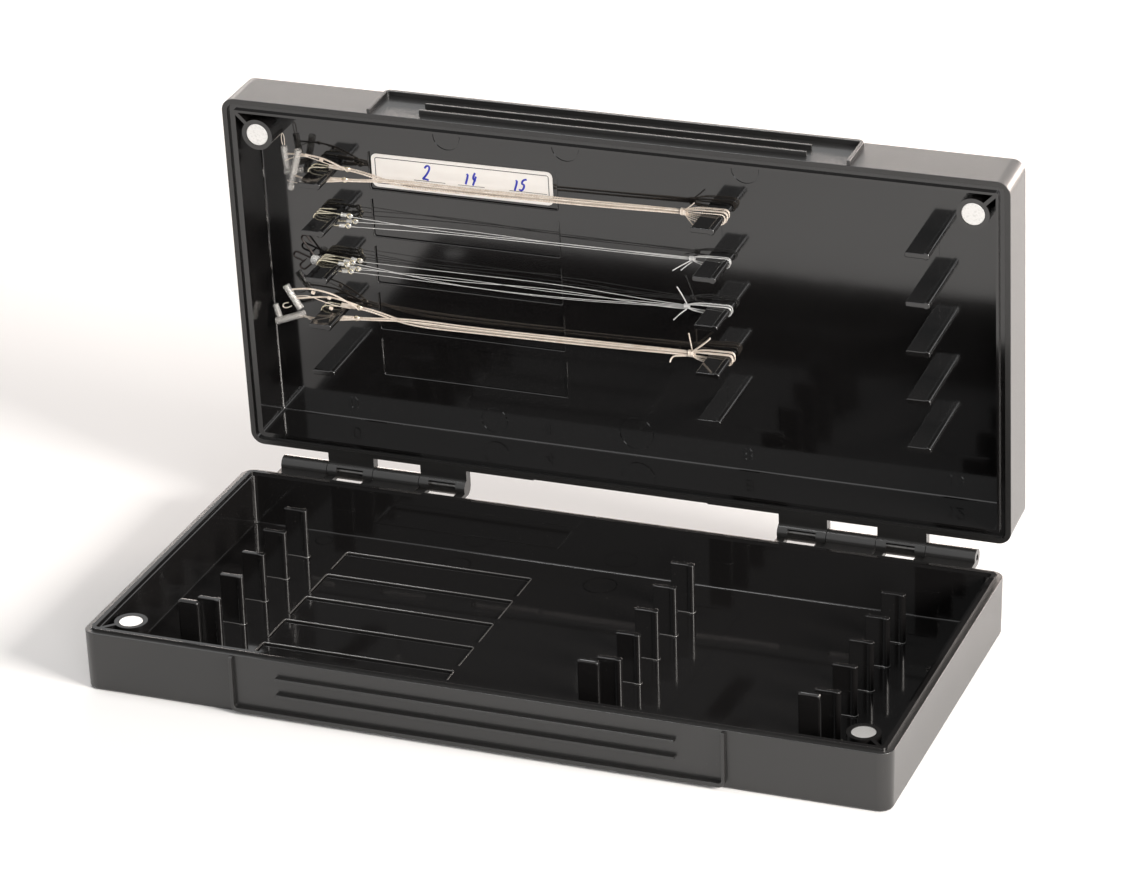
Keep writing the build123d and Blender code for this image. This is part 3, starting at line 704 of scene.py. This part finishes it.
braided_rig("rig_1_cord", "rig_1_line", ROW_A, HOOKS_A, (31.0, 6.2, 0.95),
            [(3.3, 0.06, 0.5, 0.62), (4.6, 0.3, -0.5, 0.62), (6.0, 0.1, 0.6, 0.62),
             (7.6, 0.5, 0.4, 0.6), (9.6, 0.2, 1.2, 0.6)],
            [([(31.0, ROW_A - 1.0, 6.6), (33.6, ROW_A - 2.6, 7.2), (36.8, ROW_A - 5.9, 7.8)], 0.7),
             ([(31.4, ROW_A + 1.0, 6.4), (34.0, ROW_A + 3.2, 8.0), (37.4, ROW_A + 4.6, 10.6)],
              0.7)])
braided_rig("rig_4_cord", "rig_4_line", ROW_D, HOOKS_D, (31.4, 4.2, 0.95),
            [(2.2, 0.06, 0.4, 0.7), (3.6, 0.4, -0.5, 0.7), (5.2, 0.1, 0.6, 0.7),
             (6.6, 0.35, 0.4, 0.6)],
            [([(31.4, ROW_D - 1.0, 4.8), (36.0, ROW_D - 4.6, 5.6), (41.8, ROW_D - 10.4, 6.6)], 1.0),
             ([(31.4, ROW_D - 1.2, 3.4), (31.0, ROW_D - 6.0, 4.2), (30.6, ROW_D - 11.0, 5.2)], 0.7),
             ([(31.4, ROW_D + 1.0, 4.4), (26.0, ROW_D + 1.4, 5.2), (21.6, ROW_D + 1.8, 6.0),
               (21.2, ROW_D + 4.8, 6.6)], 0.9)])
clear_rig("rig_2_cord", "rig_2_line", ROW_B, HOOKS_B, (33.4, 4.0, 0.4),
          [(2.9, 0.05, 0.4, 0.45), (4.2, 0.05, -0.5, 0.45), (5.0, 0.3, 0.3, 0.45)],
          [([(33.4, ROW_B + 0.6, 4.4), (29.6, ROW_B + 2.2, 6.4), (25.2, ROW_B + 4.8, 9.2)], 0.6),
           ([(33.4, ROW_B + 1.6, 3.6), (31.2, ROW_B + 3.0, 5.0), (28.6, ROW_B + 5.2, 7.0)], 0.6)],
          [(0.4, 0.2), (-0.5, 0.8), (1.0, 0.4)])
clear_rig("rig_3_cord", "rig_3_line", ROW_C, HOOKS_C, (30.0, 4.4, 0.34),
          [(2.6, 0.05, 0.6, 0.42), (3.7, 0.3, -0.4, 0.42), (4.7, 0.05, 0.6, 0.42),
           (6.0, 0.35, -0.5, 0.42)],
          [([(30.0, ROW_C - 1.4, 4.6), (28.6, ROW_C - 5.4, 5.2), (26.0, ROW_C - 10.4, 6.2)], 0.6),
           ([(30.0, ROW_C + 1.4, 4.8), (27.2, ROW_C + 3.0, 6.8), (24.8, ROW_C + 5.6, 9.4)], 0.6)],
          [(-3.4, 0.2), (1.2, 0.6), (3.2, 1.4), (4.6, 0.2), (-1.4, 1.0)])


def hair(name, node, points):
    # Pair of thin plaited threads lying side by side
    threads = plaited(points, 0.62, 1.8)
    shifted = [point + Vector((0.0, 0.0, 0.42)) * MM for point in points]
    threads += plaited(shifted, 0.5, 1.8)
    return put(cord_object(name, threads, BRAID, 1), "braid", node)


TOP_A, LOW_A = eye_spot(ROW_A, -1, 14.3), eye_spot(ROW_A, 1, 14.3)
TOP_D, LOW_D = eye_spot(ROW_D, -1, 14.0), eye_spot(ROW_D, 1, 14.0)
hair("rig_1_hair_cord_a", "rig_1_hair_a", spots(
    (TOP_A[0], TOP_A[1], 7.0), (-147.0, ROW_A - 6.2, 7.0), (-155.0, ROW_A - 7.6, 7.2),
    (-162.4, ROW_A - 7.8, 7.2), (-168.4, ROW_A - 7.3, 7.4)))
hair("rig_1_hair_cord_b", "rig_1_hair_b", spots(
    (LOW_A[0], LOW_A[1], 10.8), (-147.4, ROW_A + 3.3, 11.4), (-156.0, ROW_A + 3.5, 11.2),
    (-164.4, ROW_A + 2.4, 9.8)))
hair("rig_4_hair_cord_a", "rig_4_hair_a", spots(
    (TOP_D[0], TOP_D[1], 5.1), (-147.0, ROW_D - 7.4, 5.6), (-156.0, ROW_D - 10.2, 6.6),
    (-165.6, ROW_D - 11.0, 7.4), (-172.0, ROW_D - 9.4, 7.8)))
hair("rig_4_hair_cord_b", "rig_4_hair_b", spots(
    (TOP_D[0], TOP_D[1], 2.2), (-148.2, ROW_D - 5.4, 3.6), (-157.0, ROW_D - 6.6, 5.4),
    (-170.0, ROW_D - 5.0, 8.0)))
hair("rig_4_hair_cord_c", "rig_4_hair_c", spots(
    (LOW_D[0], LOW_D[1], 8.6), (-148.0, ROW_D + 3.3, 9.4), (-157.4, ROW_D + 3.5, 10.0),
    (-167.6, ROW_D + 3.0, 10.0)))


def soft_tube(name, node, runs):
    # Hollow soft tubes, each along its own short line
    threads = []
    for points, width in runs:
        threads.append((even_steps(smooth_route(spots(*points)), 0.6 * MM), width * 0.5 * MM))
    piece = cord_object(name, threads, SILICONE, 5, False)
    wall = piece.modifiers.new("wall", "SOLIDIFY")
    wall.thickness = TUBE_WALL * MM
    wall.offset = -1.0
    return put(piece, "soft_tube", node)


soft_tube("rig_1_tube_a", "rig_1_stop_a", [
    ([(-169.6, -62.0, 7.2), (-169.3, -56.0, 7.4), (-168.3, -50.6, 7.6)], 3.3)])
soft_tube("rig_1_tube_b", "rig_1_stop_b", [
    ([(-161.6, -61.4, 8.4), (-164.4, -51.0, 9.2), (-166.8, -41.2, 10.0)], 3.5),
    ([(-171.0, -47.4, 5.0), (-166.8, -48.6, 5.4), (-161.6, -49.8, 5.9)], 3.0)])
soft_tube("rig_4_tube_a", "rig_4_stop_a", [
    ([(-174.6, 12.0, 7.6), (-171.4, 17.6, 8.0), (-167.2, 23.4, 8.4)], 3.5)])
soft_tube("rig_4_tube_b", "rig_4_stop_b", [
    ([(-179.6, 30.6, 10.6), (-172.4, 28.0, 10.2), (-164.8, 25.0, 9.8)], 3.4),
    ([(-180.6, 22.6, 8.4), (-179.6, 25.6, 8.8), (-178.4, 29.0, 9.2)], 2.8)])


def end_loops():
    # Thin loops and small knots where the hairs leave the tubes
    threads = plain_line(spots(
        (-170.2, -62.6, 7.2), (-171.0, -66.0, 7.0), (-170.0, -69.4, 6.8), (-169.0, -66.0, 7.0),
        (-169.2, -62.6, 7.2)), 0.4)
    threads += plain_line(spots(
        (-173.6, 21.0, 8.4), (-176.4, 21.4, 8.6), (-176.8, 23.8, 8.8), (-174.0, 23.8, 8.8),
        (-172.0, 22.4, 8.6)), 0.55)
    threads += plain_line(spots(
        (-171.6, 17.8, 8.2), (-164.0, 15.2, 8.6), (-156.6, 17.4, 9.0), (-148.6, 19.8, 8.2),
        (-141.4, 20.6, 7.4)), 0.42)
    threads += plain_line(spots(
        (-168.0, -45.4, 9.9), (-160.0, -44.2, 10.6), (-152.0, -46.4, 11.0), (-143.0, -47.8, 10.0)),
        0.42)
    threads += plain_line(spots(
        (-169.0, -55.0, 8.8), (-161.4, -59.4, 8.6), (-152.0, -56.8, 8.0), (-143.6, -54.0, 7.0)),
        0.42)
    for x, y, off in ((-158.0, -58.6, 7.6), (-150.6, -57.0, 7.4), (-160.6, 14.4, 7.4),
                      (-152.4, 16.4, 7.0), (-162.0, 26.8, 10.2), (-150.8, 20.6, 9.4)):
        threads += wraps(on_lid(x - 0.7, y, off), on_lid(x + 0.7, y + 0.3, off), 0.62, 0.5, 3)
    return put(cord_object("rig_hair_loops", threads, BRAID, 1), "braid")


end_loops()


def tie_wraps():
    # Turns of clear line that hold the small dark hooks together
    row = ROW_C - 1.0
    threads = wraps(on_lid(-160.6, row - 0.4, 4.6), on_lid(-157.2, row + 0.4, 5.4), 1.7, 0.7, 5)
    threads += wraps(on_lid(-159.0, row, 3.1), on_lid(-158.8, row, 6.9), 1.5, 0.6, 5)
    threads += plain_line(spots((-157.4, row + 0.6, 6.4), (-154.6, row + 2.6, 8.4),
                                (-151.6, row + 2.4, 9.8)), 0.5)
    return put(cord_object("rig_3_wraps", threads, NYLON), "clear_line", "rig_3_tie")


tie_wraps()


def label_sheet():
    # Thin card with rounded corners, a printed frame line and short rules
    work = bmesh.new()
    bmesh.ops.create_grid(work, x_segments=1, y_segments=1, size=1.0)
    bmesh.ops.scale(work, vec=(LABEL_HALF_X, LABEL_HALF_Y, 1.0), verts=work.verts)
    bmesh.ops.bevel(work, geom=list(work.verts), offset=2.9, segments=6, profile=0.5,
                    affect="VERTICES", material=-1)
    bmesh.ops.inset_individual(work, faces=list(work.faces), thickness=1.8, depth=0.0)
    inner = [face for face in work.faces if len(face.verts) > 4]
    ring = bmesh.ops.inset_individual(work, faces=inner, thickness=0.4, depth=0.0)
    for face in ring["faces"]:
        face.material_index = 1
    bmesh.ops.solidify(work, geom=list(work.faces), thickness=0.28)
    for face in work.faces:
        face.smooth = False
    for x0, x1 in ((-24.5, -8.5), (-2.0, 11.5), (24.0, 43.0)):
        made = bmesh.ops.create_grid(work, x_segments=1, y_segments=1, size=1.0)
        corners = made["verts"]
        bmesh.ops.scale(work, vec=((x1 - x0) / 2, 0.14, 1.0), verts=corners)
        bmesh.ops.translate(work, vec=((x0 + x1) / 2, -3.0, 0.03), verts=corners)
        for face in {face for corner in corners for face in corner.link_faces}:
            face.material_index = 1
    mesh = bpy.data.meshes.new("rig_label_card")
    work.normal_update()
    work.to_mesh(mesh)
    work.free()
    return mesh


def seat_on_lid(mesh, x, y, off, roll):
    # Stand a flat mesh on the lid floor, its face to the inside of the lid
    turn = radians(OPEN_ANGLE)
    right = Vector((1.0, 0.0, 0.0))
    up = Vector((0.0, -cos(turn), sin(turn)))
    out = right.cross(up)
    tilt = Matrix.Rotation(radians(roll), 3, out)
    axes = Matrix((tilt @ right, tilt @ up, out)).transposed().to_4x4()
    place = Matrix.Translation(on_lid(x, y, off)) @ axes @ Matrix.Scale(MM, 4)
    mesh.transform(place)


label_mesh = label_sheet()
seat_on_lid(label_mesh, LABEL_X, LABEL_Y, LABEL_OFF, LABEL_ROLL)
label_mesh.materials.append(PAPER)
label_mesh.materials.append(PRINT)
label_piece = bpy.data.objects.new("rig_label_card", label_mesh)
scene.collection.objects.link(label_piece)
put(label_piece, "label_paper", "rig_label")

PEN = {
    "1": [[(-0.2, 0.55), (0.25, 1.0), (0.02, -1.0)]],
    "2": [[(-0.5, 0.6), (-0.25, 1.0), (0.35, 0.95), (0.5, 0.45), (0.0, -0.4), (-0.6, -0.95),
           (-0.1, -0.8), (0.7, -0.95)]],
    "4": [[(0.05, 1.0), (-0.55, -0.25), (0.65, -0.2)], [(0.45, 0.45), (0.2, -1.05)]],
    "5": [[(0.65, 1.0), (-0.2, 0.95), (-0.35, 0.15), (0.35, 0.2), (0.45, -0.5), (-0.1, -1.0),
           (-0.6, -0.7)]],
}


def pen_numbers():
    # Handwritten figures as thin ink lines on the card
    strokes = []
    for text, x, tall in (("2", -17.9, 3.9), ("14", 4.4, 3.2), ("15", 29.2, 3.2)):
        for place, digit in enumerate(text):
            shift = (place - (len(text) - 1) / 2) * tall * 1.05
            for points in PEN[digit]:
                flat = [Vector((x + shift + px * tall * 0.66 + py * 0.8, 1.0 + py * tall, 0.0))
                        for px, py in points]
                strokes.append((even_steps(smooth_route(flat), 0.4), 0.5))
    piece = cord_object("rig_label_figures", strokes, INK, 1)
    bmesh_work = bmesh.new()
    bmesh_work.from_mesh(piece.data)
    bmesh.ops.scale(bmesh_work, vec=(1.0, 1.0, 0.35), verts=bmesh_work.verts)
    bmesh_work.to_mesh(piece.data)
    bmesh_work.free()
    seat_on_lid(piece.data, LABEL_X, LABEL_Y, LABEL_OFF, FIGURES_ROLL)
    return put(piece, "label_paper")


pen_numbers()


def floor_lips(name, body, finish, rows, sign, spot_at):
    # Fine rounded lips along the label recesses in a tray floor
    threads = []
    for row in rows:
        near = row - sign * RECESS_HALF
        far = row + sign * (RECESS_HALF - 0.6)
        outline = [(RECESS_LEFT, far), (RECESS_LEFT, near + sign * 1.0),
                   (RECESS_LEFT + 0.3, near + sign * 0.3),
                   (RECESS_LEFT + 1.0, near), (RECESS_RIGHT - 1.0, near),
                   (RECESS_RIGHT - 0.3, near + sign * 0.3), (RECESS_RIGHT, near + sign * 1.0),
                   (RECESS_RIGHT, far)]
        threads.append(([spot_at(x, y) for x, y in outline], LIP_RADIUS * MM))
    piece = cord_object(name, threads, finish)
    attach(piece, body)
    return piece


# The base lips take the edge finish, whose lighter colour is a painted highlight
floor_lips("base_recess_lips", "base", PAINTED_HIGHLIGHT_LIP, BASE_ROWS, -1,
           lambda x, y: Vector((x, y, BASE_FLOOR - 0.1)) * MM)
floor_lips("lid_recess_lips", "lid", BLACK_LID, ROWS, -1, lambda x, y: on_lid(x, y, -0.28))


def peg_feet():
    # Small rounded welds round the feet of the base pegs
    threads = []
    level = BASE_FLOOR + 0.05
    for column in PEG_COLUMNS:
        for row in BASE_ROWS:
            outline = [(0.0, -0.7), (0.5, -PLATE_HALF), (8.2, -PLATE_HALF)]
            outline += [(BEAD_CENTRE + 1.8 * sin(a), -1.8 * cos(a))
                        for a in [pi * k / 8 for k in range(9)]]
            outline += [(8.2, PLATE_HALF), (0.5, PLATE_HALF), (0.0, 0.7), (0.0, -0.7)]
            threads.append(([Vector((column + x, row + y, level)) * MM for x, y in outline],
                            WELD_RADIUS * MM))
    for column in TALL_PEG_LEFTS:
        outline = [(0.0, -PLATE_HALF), (TALL_PEG_WIDTH, -PLATE_HALF),
                   (TALL_PEG_WIDTH, PLATE_HALF), (0.0, PLATE_HALF), (0.0, -PLATE_HALF)]
        threads.append(([Vector((column + x, TALL_PEG_ROW + y, level)) * MM for x, y in outline],
                        WELD_RADIUS * MM))
    # The welds take the same edge finish, whose lighter colour is a painted highlight
    piece = cord_object("base_peg_feet", threads, PAINTED_HIGHLIGHT_LIP)
    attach(piece, "base")
    return piece


peg_feet()


def build_floor():
    # Pale floor of the studio
    mesh = bpy.data.meshes.new("floor")
    work = bmesh.new()
    bmesh.ops.create_grid(work, x_segments=1, y_segments=1, size=6.0)
    work.to_mesh(mesh)
    work.free()
    floor = bpy.data.objects.new("floor", mesh)
    scene.collection.objects.link(floor)
    material, tree, shader = new_material("pale_floor")
    vector = object_vector(tree)
    cloud = noise(tree, vector, 3.0, 2.0, 0.5)
    tree.links.new(mix_colour(tree, cloud, (0.93, 0.93, 0.93), (0.95, 0.95, 0.95)),
                   shader.inputs["Base Color"])
    shader.inputs["Roughness"].default_value = 0.9
    shader.inputs["Specular IOR Level"].default_value = 0.1
    mesh.materials.append(material)


build_floor()
